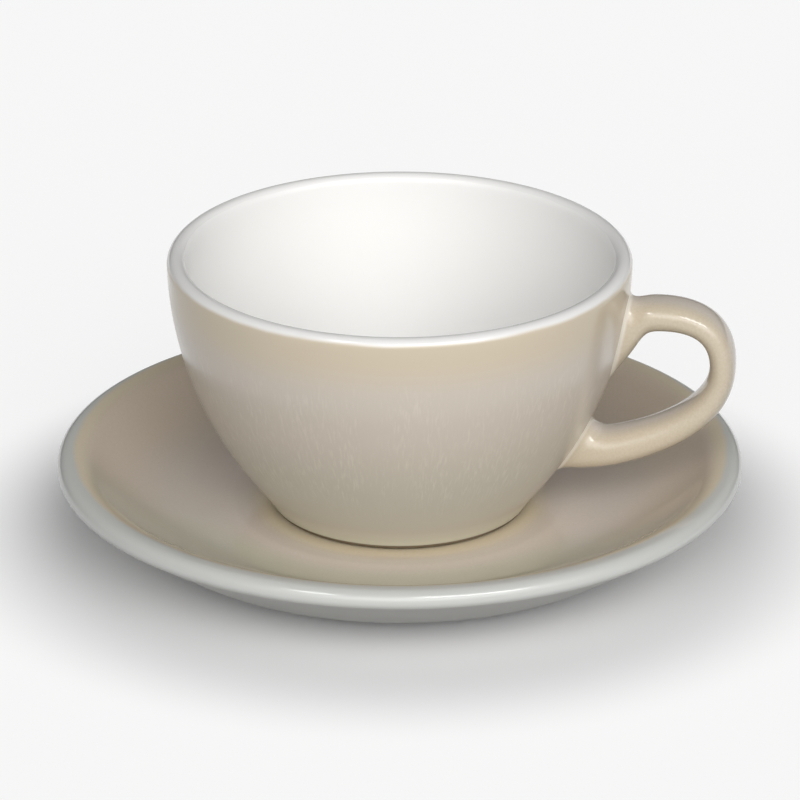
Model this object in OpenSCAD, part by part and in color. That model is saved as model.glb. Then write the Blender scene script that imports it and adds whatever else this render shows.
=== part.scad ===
// Cappuccino cup with its saucer: a turned bowl, a pulled handle and a thick saucer with a seat for the cup.
// Millimetres, +Z up, origin on the table under the middle of the saucer, handle along +X.

/* [Cup] */
// Diameter across the rim
rim_d = 104; // [98:0.5:112]
// Height from the foot to the top of the lip
cup_h = 60; // [56:0.5:66]
// Radius of the bulging side
side_r = 84.5; // [76:0.5:120]
// Thickness of the wall, rounded over at the lip
wall_t = 4.2; // [3.2:0.1:5.2]
// Thickness of the bottom
bottom_t = 4.6; // [3.5:0.1:7]
// Radius of the round corner inside the bowl
bowl_r = 26; // [18:1:30]

/* [Foot of the cup] */
// Diameter of the foot
foot_d = 58.2; // [54:0.2:64]
// Height at which the bulging side would reach the foot's edge
foot_h = 2; // [1.8:0.1:4]
// Radius of the hollow blend between the foot's edge and the side
foot_blend = 40; // [20:1:60]
// Height of the rounding under the foot's edge
foot_round_h = 1; // [0.4:0.1:1.4]
// Width of the rounding under the foot's edge
foot_round_w = 2.4; // [1:0.1:3]
// Width of the ring the cup stands on
foot_ring_w = 2.4; // [1.6:0.1:5]
// Depth of the hollow inside the ring
foot_hollow = 1.8; // [1:0.1:2.5]

/* [Handle] */
// Reach of the handle beyond the rim, to the middle of its tip
tip_reach = 20.9; // [18:0.1:24]
// Drop of the upper root below the top of the lip
upper_root_drop = 12.2; // [11:0.1:14]
// Drop of the tip below the upper root
tip_drop = 11; // [9:0.1:14]
// Rise of the handle where it leaves the upper root, in degrees
upper_rise = 11.5; // [4:0.5:18]
// Height of the lower root above the cup's foot
lower_root_z = 14.1; // [12:0.1:17]
// Rise of the handle where it leaves the lower root, in degrees
lower_rise = 8; // [4:0.5:14]
// Pull of the curve at the upper root
upper_pull = 12; // [8:0.1:14]
// Pull of the curve above and below the tip
tip_pull = 11.7; // [9:0.1:14]
// Pull of the curve at the lower root
lower_pull = 19.8; // [14:0.1:23]
// Width of the strap
strap_w = 11.5; // [9:0.1:14]
// Thickness of the strap at the upper root
upper_t = 7.6; // [6:0.1:9]
// Thickness of the strap at the tip
tip_t = 5.8; // [5:0.1:8]
// Thickness of the strap at the lower root
lower_t = 8.8; // [6:0.1:10]

/* [Handle roots] */
// Rise of the flare on top of the upper root, along the wall
upper_top_rise = 1.6; // [0.8:0.1:4]
// Run of the flare on top of the upper root, along the strap
upper_top_run = 2.2; // [1:0.1:8]
// Rise of the web under the upper root, along the wall
web_rise = 10.8; // [6:0.1:14]
// Run of the web under the upper root, along the strap
web_run = 6; // [4:0.1:12]
// Rise of the flare on top of the lower root, along the wall
lower_top_rise = 7.4; // [2:0.1:10]
// Run of the flare on top of the lower root, along the strap
lower_top_run = 12; // [4:0.1:15]
// Rise of the flare under the lower root, along the wall
lower_under_rise = 1.2; // [0.5:0.1:4]
// Run of the flare under the lower root, along the strap
lower_under_run = 2; // [1:0.1:8]
// Rise of the flares at both sides of a root, along the wall
side_rise = 1.6; // [0.6:0.1:4]
// Run of the flares at both sides of a root, along the strap
side_run = 2.4; // [1:0.1:6]

/* [Saucer] */
// Diameter of the saucer
saucer_d = 155; // [150:0.5:164]
// Height of the saucer
saucer_h = 19.8; // [18:0.1:23]
// Thickness of the saucer's floor
plate_t = 5.2; // [4:0.1:6]
// Thickness of the rounded rim
rim_t = 4.9; // [3.5:0.1:6]
// Rounding of the rim's lower edge
rim_under_r = 1.9; // [0.8:0.1:2.4]
// Radius of the dished curve between the floor and the rim
dish_r = 55; // [48:1:66]
// Width of the flange, seen from below
flange_w = 24; // [21:0.5:28]
// Radius of the bend under the inner edge of the flange
bend_r = 13.2; // [9:0.1:17]
// Distance of the foot ring inside the bend
base_inset = 7.5; // [5:0.5:12]
// Height of the foot ring under the floor
base_h = 3; // [2:0.1:5]
// Width of the foot ring
base_ring_w = 4; // [3:0.1:6]
// Rounding of the foot ring's outer edge
base_round = 1; // [0.4:0.1:1.5]

/* [Seat] */
// Depth of the seat in the saucer's floor
seat_depth = 0.5; // [0.2:0.1:1.2]
// Play around the cup's foot in the seat
seat_play = 3.5; // [1:0.1:5]
// Width of the seat's sloping edge
seat_edge_w = 6; // [2:0.1:8]

/* [Hidden] */
turn_steps = 72;
side_steps = 12;
lip_steps = 10;
corner_steps = 6;
bowl_steps = 8;
ring_steps = 36;
ring_points = 30;
strap_power = 2.4;
flare_power = 2;
web_power = 1.1;
root_depth = 3;
lean_length = 10;
small_step = 0.001;

foot_r = foot_d / 2;
lip_r = wall_t / 2;
lip_c = [rim_d / 2 - lip_r, cup_h - lip_r];
side_c = meeting([foot_r, foot_h], side_r, lip_c, side_r - lip_r);
inner_r = side_r - wall_t;
bowl_floor = foot_hollow + bottom_t;
bowl_c = [
  side_c.x + sqrt(pow(inner_r - bowl_r, 2) - pow(bowl_floor + bowl_r - side_c.y, 2)),
  bowl_floor + bowl_r
];
lip_angle = angle_to(side_c, lip_c);
bowl_angle = angle_to(side_c, bowl_c);
foot_edge = [foot_r, foot_round_h];
blend_c = meeting(side_c, side_r + foot_blend, foot_edge, foot_blend);
foot_flat_r = foot_r - foot_round_w;
ring_in_r = foot_flat_r - foot_ring_w;

flange_in_r = saucer_d / 2 - flange_w;
base_r = flange_in_r - base_inset;
rim_round = rim_t / 2;
rim_c = [saucer_d / 2 - rim_round, saucer_h - rim_round];
floor_z = base_h + plate_t;
dish_z = floor_z + dish_r;
dish_c = [rim_c.x - sqrt(pow(dish_r + rim_round, 2) - pow(dish_z - rim_c.y, 2)), dish_z];
bend_c = [flange_in_r, base_h + bend_r];
rim_under_c = [saucer_d / 2 - rim_under_r, rim_c.y];
under_slope = angle_to(bend_c, rim_under_c)
  + asin((bend_r - rim_under_r) / norm(rim_under_c - bend_c));
seat_z = floor_z - seat_depth;
seat_r = foot_r + seat_play;
seat_out_r = min(seat_r + seat_edge_w, dish_c.x);

upper_root_z = cup_h - upper_root_drop;
upper_root = [wall_at(upper_root_z), upper_root_z];
lower_root = [wall_at(lower_root_z), lower_root_z];
tip = [rim_d / 2 + tip_reach, upper_root_z - tip_drop];

function angle_to(from, to) = atan2(to.y - from.y, to.x - from.x);
function aim(angle) = [cos(angle), sin(angle)];
function unit(v) = v / norm(v);
function left_of(v) = [-v.y, v.x];
function arc(c, r, a0, a1, n) = [for (i = [0:n]) c + r * aim(a0 + (a1 - a0) * i / n)];

// centre of a circle that lies rp from p and rq from q, on the left of the line between them
function meeting(p, rp, q, rq) =
  let (d = norm(q - p), u = (q - p) / d, a = (rp * rp - rq * rq + d * d) / (2 * d))
  p + a * u + sqrt(rp * rp - a * a) * left_of(u);

// outer radius of the cup's side at a height above its foot
function wall_at(z) = side_c.x + sqrt(pow(side_r, 2) - pow(z - side_c.y, 2));

outer_line = concat(
  [for (q = arc([0, 1], 1, -90, 0, corner_steps)) [foot_flat_r + foot_round_w * q.x, foot_round_h * q.y]],
  arc(blend_c, foot_blend, angle_to(blend_c, foot_edge), angle_to(blend_c, side_c), corner_steps),
  arc(side_c, side_r, angle_to(side_c, blend_c), lip_angle, side_steps)
);
inner_line = concat(
  arc(lip_c, lip_r, lip_angle, lip_angle + 180, lip_steps),
  arc(side_c, inner_r, lip_angle, bowl_angle, side_steps),
  arc(bowl_c, bowl_r, bowl_angle, -90, bowl_steps)
);

function bezier(a, b, c, d, s) =
  pow(1 - s, 3) * a + 3 * s * pow(1 - s, 2) * b + 3 * s * s * (1 - s) * c + pow(s, 3) * d;

// middle line of the handle: 0 at the upper root, 1 at the tip, 2 at the lower root
function spine(s) = s < 1
  ? bezier(upper_root, upper_root + upper_pull * aim(upper_rise), tip + [0, tip_pull], tip, s)
  : bezier(tip, tip - [0, tip_pull], lower_root + lower_pull * aim(lower_rise), lower_root, s - 1);
function spine_way(s) = unit(spine(min(s + small_step, 2)) - spine(max(s - small_step, 0)));

// swelling of the strap at a distance from its root: full at the wall, gone after the run
function flare(d, run, rise, bend = flare_power) =
  d >= run ? 0 : rise * (1 - pow(1 - pow(1 - d / run, bend), 1 / bend));
function near(d) = d >= lean_length ? 0 : pow(cos(90 * d / lean_length), 2);
function power(v) = sign(v) * pow(abs(v), 2 / strap_power);
function strap_t(s) = s < 1 ? upper_t + (tip_t - upper_t) * s : tip_t + (lower_t - tip_t) * (s - 1);

// direction up the wall at a root
function wall_way(root) = left_of(unit(root - side_c));

// one ring of the handle: leans with the wall and follows its curve close to a root
function ring(s, back) =
  let (
    p = spine(s),
    du = norm(p - upper_root),
    dl = norm(p - lower_root),
    ku = near(du),
    kl = near(dl),
    root = ku > kl ? upper_root : lower_root,
    lean = unit(left_of(spine_way(s)) * (1 - ku - kl) + wall_way(upper_root) * ku - wall_way(lower_root) * kl),
    half_t = strap_t(s) / 2,
    outside = half_t + flare(du, upper_top_run, upper_top_rise) + flare(dl, lower_under_run, lower_under_rise),
    inside = half_t + flare(du, web_run, web_rise, web_power) + flare(dl, lower_top_run, lower_top_rise),
    half_w = strap_w / 2 + flare(du, side_run, side_rise) + flare(dl, side_run, side_rise),
    follow = back > 0 ? 0 : max(ku, kl),
    start = p - back * unit(root - side_c)
  )
  [for (i = [0:ring_points - 1])
    let (
      a = 360 * i / ring_points,
      up = power(cos(a)) * (cos(a) > 0 ? outside : inside),
      across = power(sin(a)) * half_w,
      q = start + lean * up,
      sag = follow * (across * across / root.x + up * up / side_r) / 2
    )
    [q.x - sag, across, q.y + seat_z]];

handle_rings = concat(
  [ring(0, root_depth)],
  [for (i = [0:ring_steps]) ring(1 - cos(180 * i / ring_steps), 0)],
  [ring(2, root_depth)]
);

module saucer() {
  color([0.76, 0.72, 0.66])
    rotate_extrude($fn = turn_steps)
      polygon(concat(
        [[0, base_h], [base_r - base_ring_w - base_h / 2, base_h], [base_r - base_ring_w, 0]],
        arc([base_r - base_round, base_round], base_round, -90, 0, corner_steps),
        [[base_r, base_h]],
        arc(bend_c, bend_r, -90, under_slope - 90, corner_steps),
        arc(rim_under_c, rim_under_r, under_slope - 90, 0, corner_steps),
        arc(rim_c, rim_round, 0, angle_to(rim_c, dish_c), lip_steps),
        arc(dish_c, dish_r, angle_to(dish_c, rim_c), -90, side_steps),
        [[seat_out_r, floor_z], [seat_r, seat_z], [0, seat_z]]
      ));
}

module cup_bowl() {
  color([0.86, 0.82, 0.74])
    translate([0, 0, seat_z])
      rotate_extrude($fn = turn_steps)
        polygon(concat(
          [[0, foot_hollow], [ring_in_r - foot_hollow, foot_hollow], [ring_in_r, 0]],
          outer_line,
          inner_line,
          [[0, bowl_floor]]
        ));
}

module cup_block() {
  translate([0, 0, seat_z])
    rotate_extrude($fn = turn_steps)
      polygon(concat([[0, 0]], outer_line, [[0, outer_line[len(outer_line) - 1].y]]));
}

module handle_loft() {
  points = [for (r = handle_rings) each r];
  last = len(handle_rings) - 1;
  sides = [
    for (i = [0:last - 1], j = [0:ring_points - 1])
      let (a = i * ring_points + j, b = i * ring_points + (j + 1) % ring_points)
      each [[a, b, b + ring_points], [a, b + ring_points, a + ring_points]]
  ];
  ends = [
    [for (j = [ring_points - 1:-1:0]) j],
    [for (j = [0:ring_points - 1]) last * ring_points + j]
  ];
  polyhedron(points, concat(sides, ends));
}

module cup_handle() {
  color([0.82, 0.77, 0.68])
    difference() {
      handle_loft();
      cup_block();
    }
}

saucer();
cup_bowl();
cup_handle();
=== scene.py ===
import math

import bpy
from mathutils import Euler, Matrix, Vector


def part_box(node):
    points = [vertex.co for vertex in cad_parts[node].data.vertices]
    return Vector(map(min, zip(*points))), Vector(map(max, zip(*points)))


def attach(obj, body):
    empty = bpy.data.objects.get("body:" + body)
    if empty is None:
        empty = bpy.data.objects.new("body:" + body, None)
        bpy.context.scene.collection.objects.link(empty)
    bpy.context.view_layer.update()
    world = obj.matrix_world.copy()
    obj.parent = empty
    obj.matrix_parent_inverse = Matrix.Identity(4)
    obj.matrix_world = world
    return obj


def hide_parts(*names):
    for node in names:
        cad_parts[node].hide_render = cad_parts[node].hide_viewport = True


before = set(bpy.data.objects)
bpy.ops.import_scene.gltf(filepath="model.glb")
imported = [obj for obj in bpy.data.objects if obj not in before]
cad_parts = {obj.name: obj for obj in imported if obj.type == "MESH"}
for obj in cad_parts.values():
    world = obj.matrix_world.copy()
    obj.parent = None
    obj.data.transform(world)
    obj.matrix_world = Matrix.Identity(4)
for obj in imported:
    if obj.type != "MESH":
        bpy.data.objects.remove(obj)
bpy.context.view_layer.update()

mm = 0.001
closeBy = 0.01 * mm  # points nearer than this are merged
bowlLow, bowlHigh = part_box("cup_bowl")
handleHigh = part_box("cup_handle")[1]
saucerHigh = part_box("saucer")[1]


# Small tools for outlines, all in the plane of radius and height

def aim(angle):
    return Vector((math.cos(math.radians(angle)), math.sin(math.radians(angle))))


def angleTo(start, end):
    return math.degrees(math.atan2(end.y - start.y, end.x - start.x))


def arc(centre, radius, first, last, steps):
    return [centre + radius * aim(first + (last - first) * i / steps) for i in range(steps + 1)]


def meeting(p, rp, q, rq):  # centre of a circle rp from p and rq from q, left of the line p to q
    gap = (q - p).length
    along = (q - p) / gap
    a = (rp * rp - rq * rq + gap * gap) / (2 * gap)
    return p + a * along + math.sqrt(rp * rp - a * a) * Vector((-along.y, along.x))


def softCorner(before, corner, after, cut, steps):  # a corner eased over a length on both sides
    start = corner + cut * (before - corner).normalized()
    end = corner + cut * (after - corner).normalized()
    return [bezier([start, corner, corner, end], i / steps) for i in range(steps + 1)]


def bezier(p, s):
    t = 1 - s
    return t * t * t * p[0] + 3 * s * t * t * p[1] + 3 * s * s * t * p[2] + s * s * s * p[3]


def evenlySplit(outline, longest):  # no stretch longer than asked, so that smooth shading stays true
    dense = [outline[0]]
    for a, b in zip(outline, outline[1:]):
        parts = max(1, math.ceil((b - a).length / longest))
        dense += [a + (b - a) * i / parts for i in range(1, parts + 1)]
    return dense


def startPlane(name, size):
    bpy.ops.object.select_all(action="DESELECT")
    bpy.ops.mesh.primitive_plane_add(size=size)
    piece = bpy.context.object
    piece.name = name
    piece.data.name = name
    return piece


def turnOnWheel(name, outline, steps):  # draws the outline point by point and spins it
    piece = startPlane(name, mm)
    bpy.ops.object.mode_set(mode="EDIT")
    bpy.ops.mesh.merge(type="CENTER")
    bpy.ops.transform.translate(value=(outline[0].x, 0, outline[0].y))
    for a, b in zip(outline, outline[1:]):
        move = {"value": (b.x - a.x, 0, b.y - a.y)}
        bpy.ops.mesh.extrude_region_move(TRANSFORM_OT_translate=move)
    bpy.ops.mesh.select_all(action="SELECT")
    bpy.ops.mesh.spin(steps=steps, angle=2 * math.pi, center=(0, 0, 0), axis=(0, 0, 1))
    bpy.ops.mesh.select_all(action="SELECT")
    bpy.ops.mesh.remove_doubles(threshold=closeBy)
    bpy.ops.mesh.normals_make_consistent(inside=False)
    bpy.ops.object.mode_set(mode="OBJECT")
    bpy.ops.object.shade_smooth()
    return piece


wheel = {"steps": 180, "longest": 1.6 * mm}  # facets round the axis, longest stretch of an outline


# Bowl of the cup

bowl = {
    "sideRadius": 84.5 * mm, "wall": 4.2 * mm, "bottom": 4.6 * mm, "innerCorner": 26 * mm,
    "footRadius": 29.1 * mm, "footHeight": 2 * mm, "footBlend": 40 * mm,
    "roundUp": 1 * mm, "roundAcross": 2.4 * mm, "ringWidth": 2.4 * mm,
    "hollow": 1.8 * mm, "ease": 0.7 * mm,
}
bowlSteps = {"ease": 5, "foot": 12, "side": 40, "lip": 20, "inner": 30, "corner": 20}
rimRadius = bowlHigh.x
seatHeight = bowlLow.z
cupHeight = bowlHigh.z - bowlLow.z
lipRound = bowl["wall"] / 2
lipCentre = Vector((rimRadius - lipRound, cupHeight - lipRound))
footTop = Vector((bowl["footRadius"], bowl["footHeight"]))
sideCentre = meeting(footTop, bowl["sideRadius"], lipCentre, bowl["sideRadius"] - lipRound)


def wallAt(height):  # outer radius of the bowl at a height above its foot
    return sideCentre.x + math.sqrt(bowl["sideRadius"] ** 2 - (height - sideCentre.y) ** 2)


def makeBowl():
    insideHeight = bowl["hollow"] + bowl["bottom"]
    innerRadius = bowl["sideRadius"] - bowl["wall"]
    cornerUp = insideHeight + bowl["innerCorner"]
    reach = math.sqrt((innerRadius - bowl["innerCorner"]) ** 2 - (cornerUp - sideCentre.y) ** 2)
    cornerCentre = Vector((sideCentre.x + reach, cornerUp))
    lipAngle = angleTo(sideCentre, lipCentre)
    cornerAngle = angleTo(sideCentre, cornerCentre)
    footEdge = Vector((bowl["footRadius"], bowl["roundUp"]))
    blendReach = bowl["sideRadius"] + bowl["footBlend"]
    blendCentre = meeting(sideCentre, blendReach, footEdge, bowl["footBlend"])
    blendFrom = angleTo(blendCentre, footEdge)
    blendTo = angleTo(blendCentre, sideCentre)
    sideFrom = angleTo(sideCentre, blendCentre)
    ringOut = Vector((bowl["footRadius"] - bowl["roundAcross"], 0))
    ringIn = ringOut - Vector((bowl["ringWidth"], 0))
    hollowEdge = ringIn + Vector((-bowl["hollow"], bowl["hollow"]))
    middle = Vector((0, bowl["hollow"]))
    quarter = arc(Vector((0, 1)), 1, -90, 0, bowlSteps["foot"])  # of the foot's outer edge
    outline = [middle]
    outline += softCorner(middle, hollowEdge, ringIn, bowl["ease"], bowlSteps["ease"])
    outline += softCorner(hollowEdge, ringIn, ringOut, bowl["ease"], bowlSteps["ease"])
    outline += [ringOut + Vector((q.x * bowl["roundAcross"], q.y * bowl["roundUp"])) for q in quarter]
    outline += arc(blendCentre, bowl["footBlend"], blendFrom, blendTo, bowlSteps["foot"])[1:]
    outline += arc(sideCentre, bowl["sideRadius"], sideFrom, lipAngle, bowlSteps["side"])[1:-1]
    outline += arc(lipCentre, lipRound, lipAngle, lipAngle + 180, bowlSteps["lip"])
    outline += arc(sideCentre, innerRadius, lipAngle, cornerAngle, bowlSteps["inner"])[1:-1]
    outline += arc(cornerCentre, bowl["innerCorner"], cornerAngle, -90, bowlSteps["corner"])
    outline += [Vector((0, insideHeight))]
    lifted = [p + Vector((0, seatHeight)) for p in evenlySplit(outline, wheel["longest"])]
    return turnOnWheel("cupBowl", lifted, wheel["steps"])


cupBowl = makeBowl()
print("bowl turned:", len(cupBowl.data.polygons), "faces")


# Saucer

saucer = {
    "plate": 5.2 * mm, "rim": 4.9 * mm, "rimUnder": 1.9 * mm, "shoulder": 10 * mm,
    "dish": 50 * mm, "flange": 24 * mm, "bend": 13.2 * mm,
    "base": 3 * mm, "baseInset": 7.5 * mm, "baseRing": 4 * mm, "baseRound": 1 * mm,
    "seatPlay": 3.5 * mm, "seatEdge": 5 * mm, "seatSoft": 1.6 * mm, "ease": 0.8 * mm,
}
saucerSteps = {
    "ease": 5, "ring": 8, "ringTop": 6, "bend": 16, "rimUnder": 10,
    "rim": 14, "shoulder": 12, "dish": 30, "seat": 6,
}
rimRound = saucer["rim"] / 2
rimCentre = Vector((saucerHigh.x - rimRound, saucerHigh.z - rimRound))
rimUnderCentre = Vector((saucerHigh.x - saucer["rimUnder"], rimCentre.y))
floorHeight = saucer["base"] + saucer["plate"]
dishUp = floorHeight + saucer["dish"]
shoulderCentre = Vector((rimCentre.x, saucerHigh.z - saucer["shoulder"]))
dishReach = math.sqrt((saucer["dish"] + saucer["shoulder"]) ** 2 - (dishUp - shoulderCentre.y) ** 2)
dishCentre = Vector((rimCentre.x - dishReach, dishUp))


def makeSaucer():
    bendCentre = Vector((saucerHigh.x - saucer["flange"], saucer["base"] + saucer["bend"]))
    across = (rimUnderCentre - bendCentre).length
    underSlope = math.degrees(math.asin((saucer["bend"] - saucer["rimUnder"]) / across))
    underSlope += angleTo(bendCentre, rimUnderCentre)
    baseRadius = bendCentre.x - saucer["baseInset"]
    ringIn = Vector((baseRadius - saucer["baseRing"], 0))
    hollowEdge = ringIn + Vector((-saucer["base"] / 2, saucer["base"]))
    middle = Vector((0, saucer["base"]))
    ringTop = Vector((baseRadius, saucer["base"]))
    roundCentre = Vector((baseRadius - saucer["baseRound"], saucer["baseRound"]))
    seatRadius = bowl["footRadius"] + saucer["seatPlay"]
    seatIn = Vector((seatRadius, seatHeight))
    seatOut = Vector((seatRadius + saucer["seatEdge"], floorHeight))
    seatMiddle = Vector((0, seatHeight))
    bendStart = Vector((bendCentre.x, saucer["base"]))
    shoulderTo = angleTo(shoulderCentre, dishCentre)
    dishFrom = angleTo(dishCentre, shoulderCentre)
    steps = saucerSteps
    outline = [middle]
    outline += softCorner(middle, hollowEdge, ringIn, saucer["ease"], steps["ease"])
    outline += softCorner(hollowEdge, ringIn, Vector((roundCentre.x, 0)), saucer["ease"], steps["ease"])
    outline += arc(roundCentre, saucer["baseRound"], -90, 0, steps["ring"])
    outline += softCorner(outline[-1], ringTop, bendStart, saucer["ease"], steps["ringTop"])
    outline += arc(bendCentre, saucer["bend"], -90, underSlope - 90, steps["bend"])
    outline += arc(rimUnderCentre, saucer["rimUnder"], underSlope - 90, 0, steps["rimUnder"])
    outline += arc(rimCentre, rimRound, 0, 90, steps["rim"])[1:]
    outline += arc(shoulderCentre, saucer["shoulder"], 90, shoulderTo, steps["shoulder"])[1:]
    outline += arc(dishCentre, saucer["dish"], dishFrom, -90, steps["dish"])[1:]
    outline += softCorner(outline[-1], seatOut, seatIn, saucer["seatSoft"], steps["seat"])
    outline += softCorner(seatOut, seatIn, seatMiddle, saucer["seatSoft"], steps["seat"])
    outline += [seatMiddle]
    return turnOnWheel("saucerPlate", evenlySplit(outline, wheel["longest"]), wheel["steps"])


saucerPlate = makeSaucer()
print("saucer turned:", len(saucerPlate.data.polygons), "faces")


# Handle of the cup, pulled ring by ring along its middle line

handle = {
    "rootDrop": 12.2 * mm, "tipDrop": 11 * mm, "lowerRoot": 14.1 * mm,
    "upperRise": 11.5, "lowerRise": 8,  # degrees
    "upperPull": 12 * mm, "tipPull": 11.7 * mm, "lowerPull": 19.8 * mm,
    "width": 11.5 * mm, "upperThick": 7.6 * mm, "tipThick": 5.8 * mm, "lowerThick": 8.8 * mm,
    "corner": 0.56, "cornerSteps": 8, "cornerShare": 50, "rings": 36, "smooth": 2,
    "leanLength": 10 * mm, "sunk": 1.6 * mm,
}
flares = {  # run along the strap, rise along the wall, bend of the curve
    "upperTop": (2.2 * mm, 1.6 * mm, 2), "web": (4.9 * mm, 11.2 * mm, 0.92),
    "lowerTop": (12 * mm, 7.4 * mm, 2), "lowerUnder": (2 * mm, 1.2 * mm, 2),
    "side": (2.4 * mm, 1.6 * mm, 2),
}
upperRootUp = cupHeight - handle["rootDrop"]
upperRoot = Vector((wallAt(upperRootUp), upperRootUp))
lowerRoot = Vector((wallAt(handle["lowerRoot"]), handle["lowerRoot"]))
tip = Vector((handleHigh.x - handle["tipThick"] / 2, upperRootUp - handle["tipDrop"]))


def spine(s):  # 0 at the upper root, 1 at the tip, 2 at the lower root
    down = Vector((0, handle["tipPull"]))
    if s < 1:
        pull = upperRoot + handle["upperPull"] * aim(handle["upperRise"])
        return bezier([upperRoot, pull, tip + down, tip], s)
    pull = lowerRoot + handle["lowerPull"] * aim(handle["lowerRise"])
    return bezier([tip, tip - down, pull, lowerRoot], s - 1)


def spineWay(s):
    small = 0.001
    return (spine(min(s + small, 2)) - spine(max(s - small, 0))).normalized()


def leftOf(v):
    return Vector((-v.y, v.x))


def flare(name, distance):  # what a root adds to the strap at a distance from it
    run, rise, bend = flares[name]
    if distance >= run:
        return 0
    return rise * (1 - (1 - (1 - distance / run) ** bend) ** (1 / bend))


def nearRoot(distance):  # 1 at a root, eased to 0 where the strap runs free
    if distance >= handle["leanLength"]:
        return 0
    return math.cos(math.pi / 2 * distance / handle["leanLength"]) ** 2


def strapThick(s):
    if s < 1:
        return handle["upperThick"] + (handle["tipThick"] - handle["upperThick"]) * s
    return handle["tipThick"] + (handle["lowerThick"] - handle["tipThick"]) * (s - 1)


def ringAt(s):  # middle, tilt, thickness and width of one ring, and how far it stands off the wall
    p = spine(s)
    toUpper = (p - upperRoot).length
    toLower = (p - lowerRoot).length
    atUpper = nearRoot(toUpper)
    atLower = nearRoot(toLower)
    upperWall = leftOf((upperRoot - sideCentre).normalized())
    lowerWall = leftOf((lowerRoot - sideCentre).normalized())
    free = leftOf(spineWay(s)) * (1 - atUpper - atLower)
    lean = (free + upperWall * atUpper - lowerWall * atLower).normalized()
    half = strapThick(s) / 2
    outside = half + flare("upperTop", toUpper) + flare("lowerUnder", toLower)
    inside = half + flare("web", toUpper) + flare("lowerTop", toLower)
    return {
        "middle": p + lean * (outside - inside) / 2, "tilt": angleTo(Vector((0, 0)), lean),
        "thick": outside + inside,
        "wide": handle["width"] + 2 * (flare("side", toUpper) + flare("side", toLower)),
        "off": p.x - wallAt(p.y), "weight": max(atUpper, atLower),
    }


def inCup(p):  # from radius and height over the foot to the object's frame
    return Vector((p.x, 0, p.y + seatHeight))


def placeRing(old, new):  # turns and sizes the picked ring, already at its place
    centre = inCup(new["middle"])
    turn = math.radians(new["tilt"] - old["tilt"])
    thicker = new["thick"] / old["thick"]
    bpy.ops.transform.rotate(value=turn, orient_axis="Y", center_override=centre)
    bpy.ops.transform.resize(value=(thicker, new["wide"] / old["wide"], thicker), center_override=centre)


def ringName(index):
    return "ring%02d" % index


def nameRing(piece, index, weight):  # a group for each ring that follows the wall
    bpy.ops.object.vertex_group_remove_from(use_all_groups=True)
    if weight > 0:
        bpy.ops.object.vertex_group_add()
        piece.vertex_groups.active.name = ringName(index)
        bpy.context.scene.tool_settings.vertex_group_weight = weight
        bpy.ops.object.vertex_group_assign()


def sinkEnd(piece, index):  # the end face goes a little way into the wall
    bpy.ops.object.mode_set(mode="EDIT")
    bpy.ops.mesh.select_all(action="DESELECT")
    bpy.ops.object.vertex_group_set_active(group=ringName(index))
    bpy.ops.object.vertex_group_select()
    bpy.ops.mesh.extrude_region_move(TRANSFORM_OT_translate={"value": (-handle["sunk"], 0, 0)})
    bpy.ops.object.mode_set(mode="OBJECT")


def makeHandle():
    count = handle["rings"]
    rings = [ringAt(1 - math.cos(math.pi * i / count)) for i in range(count + 1)]
    flat = {"tilt": 0, "thick": handle["upperThick"], "wide": handle["width"]}
    piece = startPlane("cupHandle", 1)
    bpy.ops.object.mode_set(mode="EDIT")
    bpy.ops.transform.resize(value=(flat["thick"], flat["wide"], 1))
    bpy.ops.mesh.bevel(offset_type="PERCENT", offset_pct=handle["cornerShare"], affect="VERTICES",
                       segments=handle["cornerSteps"], profile=handle["corner"])
    bpy.ops.mesh.remove_doubles(threshold=closeBy)
    bpy.ops.transform.translate(value=inCup(rings[0]["middle"]))
    placeRing(flat, rings[0])
    nameRing(piece, 0, 1)
    for i, (old, new) in enumerate(zip(rings, rings[1:]), 1):
        move = inCup(new["middle"]) - inCup(old["middle"])
        bpy.ops.mesh.extrude_region_move(TRANSFORM_OT_translate={"value": move})
        placeRing(old, new)
        nameRing(piece, i, new["weight"])
    bpy.ops.object.mode_set(mode="OBJECT")
    for i, ring in enumerate(rings):
        if ring["weight"] > 0:
            wrap = piece.modifiers.new("followWall", "SHRINKWRAP")
            wrap.target = cupBowl
            wrap.wrap_method = "PROJECT"
            wrap.use_project_x = True
            wrap.use_negative_direction = True
            wrap.use_positive_direction = True
            wrap.offset = max(ring["off"], 0)
            wrap.vertex_group = ringName(i)
            bpy.ops.object.modifier_apply(modifier=wrap.name)
    sinkEnd(piece, 0)
    sinkEnd(piece, count)
    bpy.ops.object.mode_set(mode="EDIT")
    bpy.ops.mesh.select_all(action="SELECT")
    bpy.ops.mesh.normals_make_consistent(inside=False)
    bpy.ops.object.mode_set(mode="OBJECT")
    smooth = piece.modifiers.new("smooth", "SUBSURF")
    smooth.levels = smooth.render_levels = handle["smooth"]
    bpy.ops.object.modifier_apply(modifier=smooth.name)
    piece.vertex_groups.clear()
    bpy.ops.object.shade_smooth()
    return piece


cupHandle = makeHandle()
print("handle pulled:", len(cupHandle.data.polygons), "faces")


# Glazes

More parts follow.
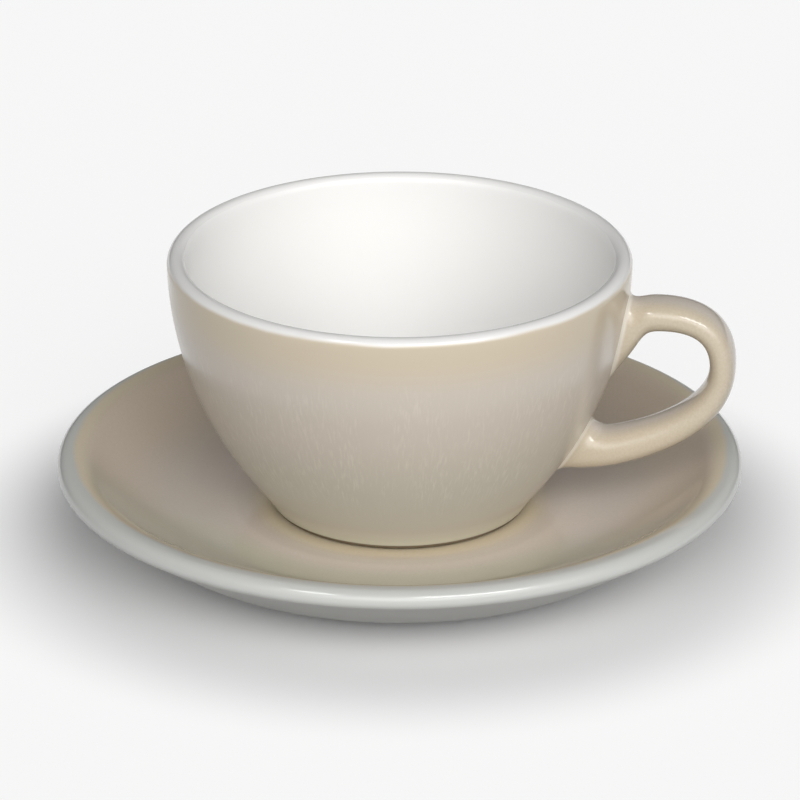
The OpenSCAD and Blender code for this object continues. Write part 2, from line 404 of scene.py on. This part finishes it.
class Wire:  # one output of a node, with sums written as sums
    def __init__(self, tree, socket=None):
        self.tree = tree
        self.socket = socket

    def node(self, kind, settings, sockets, out=0):
        made = self.tree.nodes.new(kind)
        for key, value in settings.items():
            if key == "stops":
                while len(made.color_ramp.elements) < len(value):
                    made.color_ramp.elements.new(1)
                for stop, (place, colour) in zip(made.color_ramp.elements, value):
                    stop.position = place
                    stop.color = colour
            else:
                setattr(made, key, value)
        for key, value in sockets.items():
            if isinstance(value, Wire):
                self.tree.links.new(value.socket, made.inputs[key])
            else:
                made.inputs[key].default_value = value
        return Wire(self.tree, None if out is None else made.outputs[out])

    def math(self, operation, a, b):
        return self.node("ShaderNodeMath", {"operation": operation}, {0: a, 1: b})

    def __add__(self, other):
        return self.math("ADD", self, other)

    def __radd__(self, other):
        return self.math("ADD", other, self)

    def __sub__(self, other):
        return self.math("SUBTRACT", self, other)

    def __rsub__(self, other):
        return self.math("SUBTRACT", other, self)

    def __mul__(self, other):
        return self.math("MULTIPLY", self, other)

    def __rmul__(self, other):
        return self.math("MULTIPLY", other, self)

    def __truediv__(self, other):
        return self.math("DIVIDE", self, other)

    def __pow__(self, other):
        return self.math("POWER", self, other)

    def larger(self, other):
        return self.math("MAXIMUM", self, other)

    def size(self):
        return self.math("ABSOLUTE", self, 0)

    def ramp(self, stops):  # values at places from 0 to 1
        greys = [(place, (value, value, value, 1)) for place, value in stops]
        return self.node("ShaderNodeValToRGB", {"stops": greys}, {"Fac": self})

    def rise(self, low, high):  # 0 at low, 1 at high, eased between
        limits = {"Value": self, "From Min": low, "From Max": high}
        return self.node("ShaderNodeMapRange", {"interpolation_type": "SMOOTHSTEP"}, limits)

    def over(self, colour, under):  # this value lays one colour over another
        return self.node("ShaderNodeMix", {"data_type": "RGBA"}, {0: self, 6: under, 7: colour}, 2)


def tint(red, green, blue):  # a colour as a display shows it, 0 to 255
    def linear(c):
        c = c / 255
        return c / 12.92 if c <= 0.04045 else ((c + 0.055) / 1.055) ** 2.4
    return (linear(red), linear(green), linear(blue), 1)


glaze = {
    "white": tint(238, 237, 235), "ivory": tint(206, 193, 171), "lilac": tint(205, 195, 183),
    "grey": tint(193, 187, 174), "foot": tint(201, 198, 181), "side": tint(198, 185, 163),
    "seat": tint(214, 199, 169), "floor": tint(211, 199, 187), "moss": tint(202, 198, 179),
    "blush": tint(212, 197, 178), "ochre": tint(216, 202, 175), "rim": tint(199, 200, 196),
    # the clay colour is bare clay, darkened to paint the shade in the gap under the cup's foot
    "under": tint(199, 198, 194), "pale": tint(228, 221, 208), "clayAndShade": tint(104, 91, 71),
    "ior": 1.5, "roughness": 0.09, "bareRough": 0.5, "satinRough": 0.4, "patchRough": 0.03,
    "fleckScale": 1900, "fleckLevels": (0.3, 0.7), "fleckShare": 0.15, "fleckStretch": 0.2,
    "patchScale": 60, "bunchScale": 240, "rippleScale": 130, "ripple": 0.02, "noiseDetail": 2,
}


class Finish:  # a glaze under way: its tree, and where a point lies on the piece
    def __init__(self, name):
        self.material = bpy.data.materials.new(name)
        self.material.use_nodes = True
        self.tree = self.material.node_tree
        self.tree.nodes.clear()
        self.start = Wire(self.tree)
        self.place = self.start.node("ShaderNodeTexCoord", {}, {}, "Object")
        split = {"Vector": self.place}
        self.x = self.start.node("ShaderNodeSeparateXYZ", {}, split, 0)
        self.y = self.start.node("ShaderNodeSeparateXYZ", {}, split, 1)
        self.z = self.start.node("ShaderNodeSeparateXYZ", {}, split, 2)
        self.radius = (self.x * self.x + self.y * self.y) ** 0.5

    def noise(self, scale, place=None):  # runs from 0 to 1, about 0.5
        sockets = {"Vector": place or self.place, "Scale": scale, "Detail": glaze["noiseDetail"]}
        return self.start.node("ShaderNodeTexNoise", {}, sockets)

    def streaks(self, scale):  # noise that runs down the wall, whatever the slope
        around = {"X": self.x / self.radius * rimRadius, "Y": self.y / self.radius * rimRadius}
        down = {"Z": self.z * glaze["fleckStretch"]}
        return self.noise(scale, self.start.node("ShaderNodeCombineXYZ", {}, {**around, **down}))

    def uneven(self, amount):  # wanders about zero in broad patches
        return (self.noise(glaze["patchScale"]) - 0.5) * amount

    def speckle(self, colour):  # fine pale flecks over a colour
        flecks = self.noise(glaze["fleckScale"]).rise(*glaze["fleckLevels"])
        return (flecks * glaze["fleckShare"]).over(glaze["pale"], colour)

    def offWall(self, inset):  # distance outside the cup's round wall, or a face some way inside it
        up = self.z - (seatHeight + sideCentre.y)
        square = (bowl["sideRadius"] - inset) ** 2 - up * up
        return self.radius - sideCentre.x - square ** 0.5

    def close(self, colour, bareAndShade, satin=0):  # glossy, less so where satin, dull where the clay is bare
        ripple = self.noise(glaze["rippleScale"])
        bump = {"Strength": glaze["ripple"], "Distance": mm, "Height": ripple}
        normal = self.start.node("ShaderNodeBump", {}, bump)
        rough = glaze["roughness"] + glaze["bareRough"] * bareAndShade + glaze["satinRough"] * satin
        rough = rough + self.uneven(glaze["patchRough"])
        sockets = {"Base Color": colour, "Roughness": rough, "Normal": normal, "IOR": glaze["ior"]}
        shader = self.start.node("ShaderNodeBsdfPrincipled", {}, sockets)
        self.start.node("ShaderNodeOutputMaterial", {}, {"Surface": shader}, None)
        return self.material


def dress(piece, material):
    piece.data.materials.clear()
    piece.data.materials.append(material)


# Each pair says where a change of glaze begins and ends
bowlBands = {
    "wobble": 0.8 * mm, "outerShare": 0.3, "streakShare": 0.3,
    # below the top of the lip
    "lip": (0.7 * mm, 1.7 * mm), "lilac": (5 * mm, 15 * mm), "grey": (24 * mm, 46 * mm),
    "streaksFrom": (6 * mm, 20 * mm), "streaksTo": (38 * mm, 52 * mm),
    "innerSatin": (0.1 * mm, 1.6 * mm), "outerSatin": (3 * mm, 8 * mm),
    # above the foot; the bare band reaches just past the foot's rounding, so its dark clay also paints
    # the shade line where the cup meets the saucer
    "bareAndShade": (1.1 * mm, 1.5 * mm), "foot": (1 * mm, 7 * mm), "overFoot": (2 * mm, 4 * mm),
    "inner": (-0.4 * mm, 0.4 * mm),  # from the middle of the wall
    "streak": (0.45, 0.75), "bunch": (0.3, 0.6),  # levels of noise
}


def bowlGlaze():
    f = Finish("bowlGlaze")
    band = bowlBands
    up = f.z - seatHeight
    depth = cupHeight - up + f.uneven(band["wobble"])  # below the top of the lip
    streaks = f.streaks(glaze["fleckScale"]).rise(*band["streak"])
    streaks = streaks * f.streaks(glaze["bunchScale"]).rise(*band["bunch"])
    streaks = streaks * depth.rise(*band["streaksFrom"]) * (1 - depth.rise(*band["streaksTo"]))
    inner = (1 - f.offWall(lipRound).rise(*band["inner"])) * up.rise(*band["overFoot"])
    # bare clay at the foot and just above it; with its dark colour this is also a painted shade line
    # along the contact with the saucer
    bareAndShade = 1 - up.rise(*band["bareAndShade"])
    colour = depth.rise(*band["lilac"]).over(glaze["lilac"], glaze["ivory"])
    colour = depth.rise(*band["grey"]).over(glaze["grey"], colour)
    colour = (1 - up.rise(*band["foot"])).over(glaze["foot"], colour)
    colour = (streaks * band["streakShare"]).over(glaze["pale"], colour)
    colour = (1 - depth.rise(*band["lip"])).over(glaze["white"], colour)
    colour = inner.over(glaze["white"], colour)
    colour = bareAndShade.over(glaze["clayAndShade"], colour)
    innerSatin = inner * depth.rise(*band["innerSatin"])
    outerSatin = (1 - inner) * depth.rise(*band["outerSatin"]) * band["outerShare"]
    return f.close(colour, bareAndShade, innerSatin + outerSatin)


handleBands = {
    "wobble": 2 * mm,
    "side": (1.5 * mm, 4.5 * mm),  # from the middle of the strap
    "jointHighlight": (0.3 * mm, 1.1 * mm),  # off the wall; a pale painted highlight along the joint
}


def handleGlaze():
    f = Finish("handleGlaze")
    aside = f.y.size() + f.uneven(handleBands["wobble"])
    colour = aside.rise(*handleBands["side"]).over(glaze["side"], glaze["lilac"])
    colour = f.speckle(colour)
    # pale painted highlight where the handle joins the wall
    colour = (1 - f.offWall(0).rise(*handleBands["jointHighlight"])).over(glaze["pale"], colour)
    return f.close(colour, 0)


saucerBands = {
    "wobble": 1.5 * mm,
    "floor": (0, 7 * mm), "moss": (9 * mm, 17 * mm),  # out from the cup's foot
    "mossFront": (8 * mm, 36 * mm),  # forward of the middle
    # from the edge, so below zero
    "blush": (-30 * mm, -14 * mm), "ochre": (-8 * mm, -5 * mm), "rim": (-4.6 * mm, -2.8 * mm),
    "rimTilt": 0.0277, "rimBend": 0.125,  # the rim's white narrows toward the back
    "underSlope": 0.3, "underShare": 0.6, "under": (-0.3 * mm, 0.3 * mm),  # from the middle of the plate
    "bareAndShade": (0.2 * mm, 0.5 * mm),  # above the table
}


def saucerGlaze():
    f = Finish("saucerGlaze")
    band = saucerBands
    reach = f.radius + f.uneven(band["wobble"])
    fromFoot = reach - bowl["footRadius"]
    fromEdge = reach - saucerHigh.x
    front = (-1 * f.y).rise(*band["mossFront"])
    tilted = fromEdge - f.y * (band["rimTilt"] + band["rimBend"] * f.y)
    plateUp = (reach - dishCentre.x).larger(0) * band["underSlope"]
    plateMiddle = plateUp + (floorHeight - saucer["plate"] * band["underShare"])
    under = 1 - (f.z - plateMiddle).rise(*band["under"])
    bareAndShade = 1 - f.z.rise(*band["bareAndShade"])
    colour = fromFoot.rise(*band["floor"]).over(glaze["floor"], glaze["seat"])
    colour = fromEdge.rise(*band["blush"]).over(glaze["blush"], colour)
    colour = (fromFoot.rise(*band["moss"]) * front).over(glaze["moss"], colour)
    colour = tilted.rise(*band["ochre"]).over(glaze["ochre"], colour)
    colour = f.speckle(colour)
    colour = tilted.rise(*band["rim"]).over(glaze["rim"], colour)
    colour = under.over(glaze["under"], colour)
    # bare foot ring in the clay colour that is darkened as painted shade
    colour = bareAndShade.over(glaze["clayAndShade"], colour)
    return f.close(colour, bareAndShade, under)


dress(cupBowl, bowlGlaze())
dress(cupHandle, handleGlaze())
dress(saucerPlate, saucerGlaze())
print("glazed")

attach(cupBowl, "cup")
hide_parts("cup_bowl")
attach(cupHandle, "cup")
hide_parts("cup_handle")
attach(saucerPlate, "saucer")
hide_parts("saucer")


# Studio: a pale floor, a soft sky, two strips for the bright lines, and the camera

studio = {
    "white": tint(255, 255, 255),
    "floor": 20, "floorSides": 96,
    "floorColour": tint(160, 160, 160), "floorShown": tint(246, 246, 246),
    "glow": 0.82, "glowBand": (0.072, 0.11),  # metres from the middle, over which the floor goes white
    # strength by the sine of the elevation, from all round and from the front
    "round": [(0, 0.04), (0.13, 0.12), (0.3, 0.31), (0.45, 0.31), (0.6, 0.1), (1, 0)],
    "front": [(0, 0.07), (0.13, 0.2), (0.38, 0.6), (0.64, 1), (0.87, 0.5), (1, 0)],
    "frontAzimuth": 18, "frontStrength": 8, "frontWidth": 2.5,
}


def fromCentre(azimuth, elevation, distance):
    flat = math.cos(math.radians(elevation)) * distance
    a = math.radians(azimuth)
    up = math.sin(math.radians(elevation)) * distance
    return Vector((flat * math.sin(a), -flat * math.cos(a), up))


def makeFloor():  # white to the eye and in reflections, with the shadow kept
    bpy.ops.object.select_all(action="DESELECT")
    bpy.ops.mesh.primitive_circle_add(vertices=studio["floorSides"], radius=studio["floor"],
                                      fill_type="NGON")
    floor = bpy.context.object
    floor.name = "floor"
    material = bpy.data.materials.new("paleFloor")
    material.use_nodes = True
    tree = material.node_tree
    tree.nodes.clear()
    start = Wire(tree)
    seen = start.node("ShaderNodeLightPath", {}, {}, "Is Camera Ray")
    mirrored = start.node("ShaderNodeLightPath", {}, {}, "Is Glossy Ray")
    through = start.node("ShaderNodeLightPath", {}, {}, "Is Transmission Ray")
    shown = seen.larger(mirrored).larger(through)
    place = start.node("ShaderNodeTexCoord", {}, {}, "Object")
    out = start.node("ShaderNodeVectorMath", {"operation": "LENGTH"}, {0: place}, "Value")
    glow = shown * out.rise(*studio["glowBand"]) * studio["glow"]
    colour = shown.over(studio["floorShown"], studio["floorColour"])
    matt = start.node("ShaderNodeBsdfDiffuse", {}, {"Color": colour})
    white = start.node("ShaderNodeEmission", {}, {"Color": studio["white"], "Strength": 1})
    both = start.node("ShaderNodeMixShader", {}, {0: glow, 1: matt, 2: white})
    start.node("ShaderNodeOutputMaterial", {}, {"Surface": both}, None)
    dress(floor, material)


def makeSky():  # a wide soft light from the front, and a little from all round
    world = bpy.data.worlds.new("studio")
    world.use_nodes = True
    tree = world.node_tree
    tree.nodes.clear()
    start = Wire(tree)
    way = start.node("ShaderNodeTexCoord", {}, {}, "Generated")
    up = start.node("ShaderNodeSeparateXYZ", {}, {"Vector": way}, 2)
    front = fromCentre(studio["frontAzimuth"], 0, 1)
    dot = {"operation": "DOT_PRODUCT"}
    toward = start.node("ShaderNodeVectorMath", dot, {0: way, 1: front}, "Value")
    lobe = toward.larger(0) ** studio["frontWidth"]
    light = up.ramp(studio["round"]) + lobe * up.ramp(studio["front"]) * studio["frontStrength"]
    glow = start.node("ShaderNodeBackground", {}, {"Color": studio["white"], "Strength": light})
    start.node("ShaderNodeOutputWorld", {}, {"Surface": glow}, None)
    bpy.context.scene.world = world


viewpoint = {
    "azimuth": 8, "elevation": 23.244, "distance": 1.2545, "aim": (0.00007, 0, 0.03176),
    "lens": 250.17, "sensor": 36,
}


def makeCamera():
    lensData = bpy.data.cameras.new("camera")
    lensData.lens = viewpoint["lens"]
    lensData.sensor_width = viewpoint["sensor"]
    camera = bpy.data.objects.new("camera", lensData)
    bpy.context.collection.objects.link(camera)
    back = fromCentre(viewpoint["azimuth"], viewpoint["elevation"], viewpoint["distance"])
    camera.location = Vector(viewpoint["aim"]) + back
    camera.rotation_euler = back.to_track_quat("Z", "Y").to_euler()
    bpy.context.scene.camera = camera


strips = {  # to the right, away from the camera, up, width, depth, radiance
    "highLeft": (-0.67, -0.96, 1.4, 0.38, 0.5, 9),
    "highRight": (0.72, -1.3, 1.4, 1.18, 0.5, 9),
}


def makeLamp(name, place, turn, width, depth, radiance):  # lies level and shines down
    light = bpy.data.lights.new(name, "AREA")
    light.shape = "RECTANGLE"
    light.size = width
    light.size_y = depth
    light.energy = radiance * math.pi * width * depth
    lamp = bpy.data.objects.new(name, light)
    bpy.context.collection.objects.link(lamp)
    lamp.location = place
    lamp.rotation_euler = turn
    lamp.visible_camera = False
    lamp.visible_diffuse = False  # only the bright lines on the glaze


def makeLights():
    turn = Euler((0, 0, math.radians(viewpoint["azimuth"])))
    for name, (right, away, up, width, depth, radiance) in strips.items():
        place = Vector((right, away, up))
        place.rotate(turn)
        makeLamp(name, place, turn, width, depth, radiance)


makeFloor()
makeSky()
makeLights()
makeCamera()
bpy.context.scene.view_settings.view_transform = "Standard"
print("studio lit")
